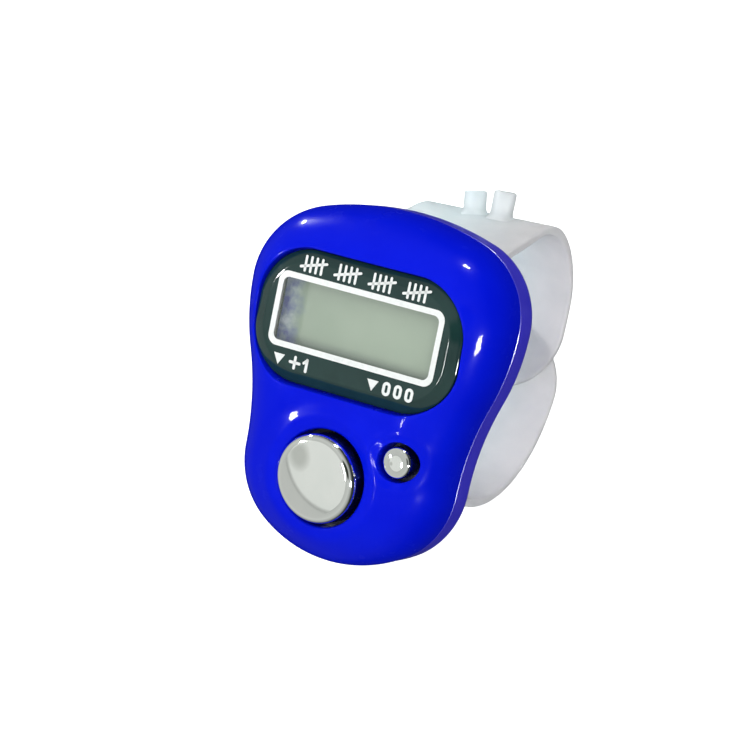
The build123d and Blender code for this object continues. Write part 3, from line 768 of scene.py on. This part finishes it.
def count_top(x, up):
    """The count key's depth: a shallow dome whose top leans."""
    high = up - COUNT[1] - COUNT_CROWN * sin(COUNT_TILT)
    return COUNT_CROWN * cos(COUNT_TILT) - COUNT_PROUD - np.sqrt(COUNT_CROWN**2 - x**2 - high**2)


def reset_top(x, up):
    """The reset key's depth: a small round dome."""
    away = (x - RESET[0]) ** 2 + (up - RESET[1]) ** 2
    return RESET_CROWN - RESET_PROUD - np.sqrt(RESET_CROWN**2 - away)


count_key = key_skin(COUNT, COUNT_RADIUS, COUNT_FLANGE, 160, count_top, COUNT_SOFT)
count_key = count_key.piece("key_count", "count_key", "chrome", chrome, unplated, painted_shade_chrome, sharp=50)
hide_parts("count_button")
reset_key = key_skin(RESET, RESET_RADIUS, RESET_FLANGE, 96, reset_top, RESET_SOFT)
reset_key = reset_key.piece("key_reset", "reset_key", "chrome", chrome, unplated, painted_shade_chrome, sharp=50)
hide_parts("reset_button")

# Rubber domes under the keys ----------------------------------------------------------------------

BOARD_FRONT, DOME_FOOT, DOME_FOOT_WIDTH, DOME_WALL = 4.4, 0.4, 0.35, 0.35
PILL, PILL_GAP = 0.4, 0.05
DOME_GAP, DOME_CORE, DOME_ROOF = 0.01, 0.3, 0.1
COUNT_DOME, RESET_DOME = (2.4, 4.6), (1.1, 1.9)


def rubber_dome(name, key_joint, node, centre, roof, foot):
    """A key's return dome, from its roof's radius to its foot's, its hollow sized by the key's travel."""
    travel = next(j for j in frame["joints"] if j["name"] == key_joint)["range_m"][1] / MM
    height = BOARD_FRONT - KEY_BACK
    neck = foot - DOME_FOOT_WIDTH - (foot - DOME_FOOT_WIDTH - roof) * DOME_FOOT / height
    ceiling = BOARD_FRONT - travel - PILL_GAP - PILL
    profile = [(DOME_CORE, ceiling), (roof - DOME_ROOF, ceiling)]
    profile += [(foot - DOME_FOOT_WIDTH - DOME_WALL, BOARD_FRONT), (foot, BOARD_FRONT)]
    profile += [(foot, BOARD_FRONT - DOME_FOOT), (neck, BOARD_FRONT - DOME_FOOT)]
    profile += [(roof, KEY_BACK + DOME_GAP), (DOME_CORE, KEY_BACK + DOME_GAP)]
    skin = Skin()
    for end in skin.rings([at_depth(circle(r, centre, 96), d) for r, d in profile]):
        skin.face(end)
    made = skin.piece(name, "case", "silicone", silicone, solid=True)
    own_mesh(made)
    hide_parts(node)


rubber_dome("dome_count_soft", "count_press", "count_rubber_dome", COUNT, *COUNT_DOME)
rubber_dome("dome_reset_soft", "reset_press", "reset_rubber_dome", RESET, *RESET_DOME)

# Straps -----------------------------------------------------------------------------------------

ROOT_DEPTH = 7.6
STRAP, SOFT_EDGE, SOFT_HOLE = 0.9, 0.28, 0.15
HALF_ROOT, HALF_STRAP, FLARE_START, FLARE_END = 6.5, 8.0, 11.9, 15.3
STRAP_START, EDGE_STEP, STRAP_SPACING = 0.2, 0.35, 0.5
# One end of a root bead, from its tip: x and radius.
BEAD_END = ((6.5, 0.5), (6.47, 0.75), (6.35, 0.87), (6.2, 0.9))
BEAD_STEPS, STUD_STEPS = 40, 56


class Band:
    """A strap's centre line in the plane of depth and up: straights and arcs from its root."""

    def __init__(self, root, angle, *runs):
        self.pieces, at, heading, along = [], np.array([ROOT_DEPTH, root]), radians(angle), 0.0
        self.lean = cos(heading)
        for length, turn in runs:
            self.pieces.append((along, length, at, heading, radians(turn)))
            at = self.walk(self.pieces[-1], length)[0]
            heading, along = heading + radians(turn), along + length
        self.length = along

    def walk(self, part, along):
        """The place and heading part way along one run."""
        _, length, at, heading, turn = part
        facing = heading + turn * along / length
        if abs(turn) < 1e-9:
            return at + along * np.array([cos(heading), sin(heading)]), facing
        radius = length / turn
        return at + radius * np.array([sin(facing) - sin(heading), cos(heading) - cos(facing)]), facing

    def place(self, points):
        """Rows of along, across and out of the middle, as x, up and depth."""
        made = []
        for along, across, out in points:
            part = next((p for p in reversed(self.pieces) if along >= p[0]), self.pieces[0])
            at, facing = self.walk(part, along - part[0])
            depth, up = at + out * np.array([-sin(facing), cos(facing)])
            made.append((across, up, depth))
        return made


def strap_outline(band):
    """The flat strap's edge: a narrow root, a flare and a half-round tip, as a clockwise loop."""
    flare, full = (FLARE_START - ROOT_DEPTH) / band.lean, (FLARE_END - ROOT_DEPTH) / band.lean
    centre = band.length - HALF_STRAP
    side = [(s, HALF_ROOT) for s in np.arange(STRAP_START, flare, EDGE_STEP)]
    count = round((full - flare) / EDGE_STEP)
    for i in range(count + 1):
        share = i / count
        eased = 0.75 * share + 0.25 * share * share * (3 - 2 * share)
        side.append((flare + (full - flare) * share, HALF_ROOT + (HALF_STRAP - HALF_ROOT) * eased))
    side += [(s, HALF_STRAP) for s in np.arange(full + EDGE_STEP, centre, EDGE_STEP)]
    tip = [(centre + HALF_STRAP * cos(a), HALF_STRAP * sin(a)) for a in np.linspace(pi / 2, 0, 48)]
    upper = side + tip
    lower = [(s, -w) for s, w in upper[::-1]][1:]
    across = np.arange(-HALF_ROOT + EDGE_STEP, HALF_ROOT - 0.01, EDGE_STEP)
    root = [(STRAP_START, w) for w in across]
    return np.array(upper + lower + root)


def strap_skin(band, holes):
    """A soft flat strap with rounded edges, bent along its centre line, with a bead at its root."""
    skin = Skin()
    edge = strap_outline(band)
    half = STRAP / 2
    tops = []
    for loop, sign, soft in [(edge, -1, SOFT_EDGE)] + [(h, 1, SOFT_HOLE) for h in holes]:
        away = outward(loop)
        rows = []
        for turn in np.linspace(-pi / 2, pi / 2, 11):
            # The edge's middle is a straight wall between its two roundings.
            if abs(turn) < 1e-9:
                continue
            inset = soft * (1 - cos(turn))
            lift = (half - soft) * (1 if turn > 0 else -1) + soft * sin(turn)
            rows.append((loop + sign * away * inset, lift))
        skin.rings([band.place(at_depth(r, lift)) for r, lift in rows])
        tops.append(rows[-1][0])
    flat, triangles = fill(tops[0], tops[1:], STRAP_SPACING)
    for lift in (half, -half):
        skin.patch(band.place(at_depth(flat, lift)), triangles)
    root_up = band.pieces[0][2][1]
    turn = np.linspace(0, 2 * pi, BEAD_STEPS, endpoint=False)
    rows = []
    for x, r in [(-x, r) for x, r in BEAD_END] + list(BEAD_END[::-1]):
        ups, depths = root_up + r * np.sin(turn), ROOT_DEPTH + r * np.cos(turn)
        rows.append(np.column_stack([np.full(BEAD_STEPS, x), ups, depths]))
    first, last = skin.rings(rows)
    skin.face(first)
    skin.face(last)
    return skin


UPPER_ROOT, UPPER_ANGLE, UPPER_RUN, UPPER_BEND = 6.65, 18.4, 15.5, 8.6
LOWER_ROOT, LOWER_ANGLE, LOWER_RUN, LOWER_BEND = -15.3, -14.0, 9.9, 14.25
UPPER_TIP, LOWER_TIP, TAIL_RADIUS = -7.2, 1.2, 60.0
STUD_RADIUS, STUD_SPACING, STUD_X, STUD_DEPTH = 1.25, 3.3, 0.55, 23.5
# Each stud's side, height and lean.
STUDS = ((1, 2.9, 0.0), (-1, 2.4, radians(8.0)))
HOLE_RADIUS, HOLE_ROWS = 1.2, (-6.0, -2.6)
TWIST = 0.035


def stud_profile(height):
    """Radius and height up a stud: a soft foot, a straight shank, a rounded top and a blind hole."""
    return [
        (1.75, -0.28),
        (1.5, -0.05),
        (1.35, 0.2),
        (STUD_RADIUS, 0.55),
        (STUD_RADIUS, 1.4),
        (STUD_RADIUS, height - 0.25),
        (1.2, height - 0.1),
        (1.08, height - 0.02),
        (0.95, height),
        (0.5, height),
        (0.42, height - 0.06),
        (0.38, height - 0.8),
    ]


upper_turn = 90 + UPPER_ANGLE
bend_depth = ROOT_DEPTH + UPPER_RUN * cos(radians(UPPER_ANGLE)) + UPPER_BEND * sin(radians(UPPER_ANGLE))
bend_up = UPPER_ROOT + UPPER_RUN * sin(radians(UPPER_ANGLE)) - UPPER_BEND * cos(radians(UPPER_ANGLE))
tail = bend_up - UPPER_TIP
upper = Band(
    UPPER_ROOT,
    UPPER_ANGLE,
    (UPPER_RUN, 0),
    (UPPER_BEND * radians(upper_turn), -upper_turn),
    (tail, -degrees(tail / TAIL_RADIUS)),
)
upper_skin = strap_skin(upper, [])
stud_base = bend_up + sqrt((UPPER_BEND + STRAP / 2) ** 2 - (STUD_DEPTH - bend_depth) ** 2)
stud_turn = np.linspace(0, 2 * pi, STUD_STEPS, endpoint=False)[:, None]
for side, height, leaning in STUDS:
    foot = np.array([STUD_X + side * STUD_SPACING / 2, stud_base, STUD_DEPTH])
    rise = np.array([-sin(leaning), cos(leaning), 0])
    outs = np.array([[cos(leaning), sin(leaning), 0], [0, 0, 1]])
    spokes = np.cos(stud_turn) * outs[0] + np.sin(stud_turn) * outs[1]
    _, last = upper_skin.rings([foot + rise * h + r * spokes for r, h in stud_profile(height)])
    upper_skin.face(last)
# The strap's top twists a little, rising towards the right.
for i, (x, up, depth) in enumerate(upper_skin.points):
    share = min(1.0, max(0.0, (up - UPPER_ROOT) / (bend_up + UPPER_BEND - UPPER_ROOT)))
    upper_skin.points[i] = (x, up + TWIST * (x + HALF_STRAP) * share * share, depth)
upper_strap = upper_skin.piece(
    "strap_upper_soft", "upper_strap", "strap_clear", strap_clear, sharp=50, solid=True
)
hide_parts("strap_upper")

lower_turn = 90 - LOWER_ANGLE
lower_end_up = LOWER_ROOT + LOWER_RUN * sin(radians(LOWER_ANGLE)) + LOWER_BEND * cos(radians(LOWER_ANGLE))
lower = Band(
    LOWER_ROOT,
    LOWER_ANGLE,
    (LOWER_RUN, 0),
    (LOWER_BEND * radians(lower_turn), lower_turn),
    (LOWER_TIP - lower_end_up, 0),
)
holes = []
for row in HOLE_ROWS:
    if row > lower_end_up:
        along = lower.length - (LOWER_TIP - row)
    else:
        along = lower.pieces[2][0] - LOWER_BEND * asin((lower_end_up - row) / LOWER_BEND)
    for x in (-STUD_SPACING / 2, STUD_SPACING / 2):
        holes.append(circle(HOLE_RADIUS, (along, x), 56))
lower_strap = strap_skin(lower, holes).piece(
    "strap_lower_soft", "lower_strap", "strap_clear", strap_clear, sharp=50, solid=True
)
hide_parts("strap_lower")

# Studio -----------------------------------------------------------------------------------------

# The floor lies low enough for the ring to open without meeting it.
FLOOR_HALF, FLOOR_DROP = 3.0, 0.008
floor_mesh = bpy.data.meshes.new("floor")
floor_low = cad_box[0].z - FLOOR_DROP
corner_signs = ((-1, -1), (1, -1), (1, 1), (-1, 1))
floor_corners = [(sx * FLOOR_HALF, sy * FLOOR_HALF, floor_low) for sx, sy in corner_signs]
floor_mesh.from_pydata(floor_corners, [], [(0, 1, 2, 3)])
floor = bpy.data.objects.new("floor", floor_mesh)
bpy.context.scene.collection.objects.link(floor)
pale = Shader("pale_floor", Emission_Color=(1, 1, 1, 1), Emission_Strength=0.75, Specular_IOR_Level=0.0)
pale.vary((0.90, 0.90, 0.90), (0.92, 0.92, 0.92), 0.01).wear(0.8, 0.9, 0.02)
floor_mesh.materials.append(pale.material)
floor.visible_glossy = False
floor.visible_diffuse = False

# The studio's walls are white to the camera and through the straps, and a softer grey on matt
# surfaces. Reflections see one soft bright wall with grey tones round it, a pale card, and a dark
# figure where the camera stands.
world = bpy.data.worlds.new("studio")
bpy.context.scene.world = world
world.use_nodes = True
tree = world.node_tree

SOFT_WALL, PALE_CARD = Vector((-0.366, -0.907, 0.208)), Vector((-0.590, -0.801, 0.097))
rays = add_node(tree, "ShaderNodeLightPath").outputs
look = add_node(tree, "ShaderNodeTexCoord").outputs["Generated"]


def facing(axis, low, high):
    """How near a reflection points to an axis, from 0 at one cosine to 1 at another."""
    links = {0: look, 1: tuple(axis.normalized())}
    dot = add_node(tree, "ShaderNodeVectorMath", links, operation="DOT_PRODUCT")
    links = {"Value": dot.outputs["Value"], "From Min": low, "From Max": high}
    return add_node(tree, "ShaderNodeMapRange", links).outputs[0]


tones = add_node(tree, "ShaderNodeValToRGB", {"Fac": facing(SOFT_WALL, -0.2, 1.0)})
stops = tones.color_ramp.elements
for at, grey in ((0.25, 0.40), (0.60, 0.62), (0.934, 0.54), (0.939, 0.34), (0.944, 0.76)):
    stop = stops.new(at)
    stop.color = (grey * 0.97, grey, grey * 0.96, 1)
stops[0].color = (0.03, 0.035, 0.04, 1)
stops[-1].color = (0.76, 0.78, 0.75, 1)
card = facing(PALE_CARD, 0.9945, 0.9990)
walls = mix_colours(tree, card, tones.outputs["Color"], (0.50, 0.52, 0.49))
figure = facing(towards, 0.955, 0.975)
reflected = mix_colours(tree, figure, walls, (0.03, 0.035, 0.03))
plain = mix_colours(tree, rays["Is Diffuse Ray"], (1, 1, 1), (0.47, 0.47, 0.48))
seen = mix_colours(tree, rays["Is Glossy Ray"], plain, reflected)
tree.links.new(seen, tree.nodes["Background"].inputs["Color"])

LIGHT_DISTANCE, TOP_DISTANCE = 0.30, 0.5


def panel(name, target, towards_light, distance, size, radiance, roll=0.0, glint=True):
    """A soft rectangular light that faces a place: seen only as a glint, or only by matt surfaces."""
    data = bpy.data.lights.new(name, "AREA")
    data.shape = "RECTANGLE"
    data.size, data.size_y = size
    data.energy = radiance * pi * size[0] * size[1]
    made = bpy.data.objects.new(name, data)
    bpy.context.scene.collection.objects.link(made)
    made.location = target + towards_light * distance
    made.rotation_mode = "QUATERNION"
    turned = Matrix.Rotation(roll, 3, "Z").to_quaternion()
    made.rotation_quaternion = towards_light.to_track_quat("Z", "Y") @ turned
    made.visible_glossy = glint
    made.visible_diffuse = not glint
    made.visible_transmission = not glint


def bounce(target, normal):
    """The direction that a mirror at this place sends the camera's view."""
    view = (camera_at - target).normalized()
    return (2 * view.dot(normal) * normal - view).normalized()


def shell_spot(x, up):
    """The front shell's place and outward normal at a spot on the face."""
    step = 0.02
    xs = np.array([x, x + step, x - step, x, x])
    ups = np.array([up, up, up, up + step, up - step])
    here, east, west, north, south = surface(xs, ups)
    slope_x, slope_up = (east - west) / (2 * step), (north - south) / (2 * step)
    return Vector(place([(x, up, here)])[0]), aim(slope_x, slope_up, -1)


disc = Vector(place([(COUNT[0], COUNT[1], -COUNT_PROUD)])[0])
overhead = Vector((-0.35, -0.25, 1.0)).normalized()
panel("softbox_front", disc, aim(0.3, 0.1, -1), LIGHT_DISTANCE, (0.34, 0.30), 2.5, glint=False)
panel("softbox_top", ORIGIN, overhead, TOP_DISTANCE, (0.5, 0.4), 1.3, glint=False)

# Each small window lights one spot of the shell: x, up, size, radiance and roll.
for name, x, up, size, radiance, roll in (
    ("window_left", -9.3, 9.1, (0.036, 0.012), 700.0, 0.6),
    ("window_right", 10.3, 8.8, (0.044, 0.012), 900.0, 0.6),
    ("window_side", 13.7, 1.5, (0.050, 0.040), 260.0, 0.0),
    ("window_low", -4.8, -10.5, (0.030, 0.016), 480.0, 0.0),
):
    spot, normal = shell_spot(x, up)
    panel(name, spot, bounce(spot, normal), LIGHT_DISTANCE, size, radiance, roll)
# A narrow strip light runs along the lens's right-hand bevel.
crease = Vector(place([(10.7, -2.8, 0.0)])[0])
bevel_normal = aim(sin(0.2), -0.03, -cos(0.2))
panel("strip_lens", crease, bounce(crease, bevel_normal), LIGHT_DISTANCE, (0.014, 0.07), 90.0)

bpy.context.scene.view_settings.view_transform = "Standard"
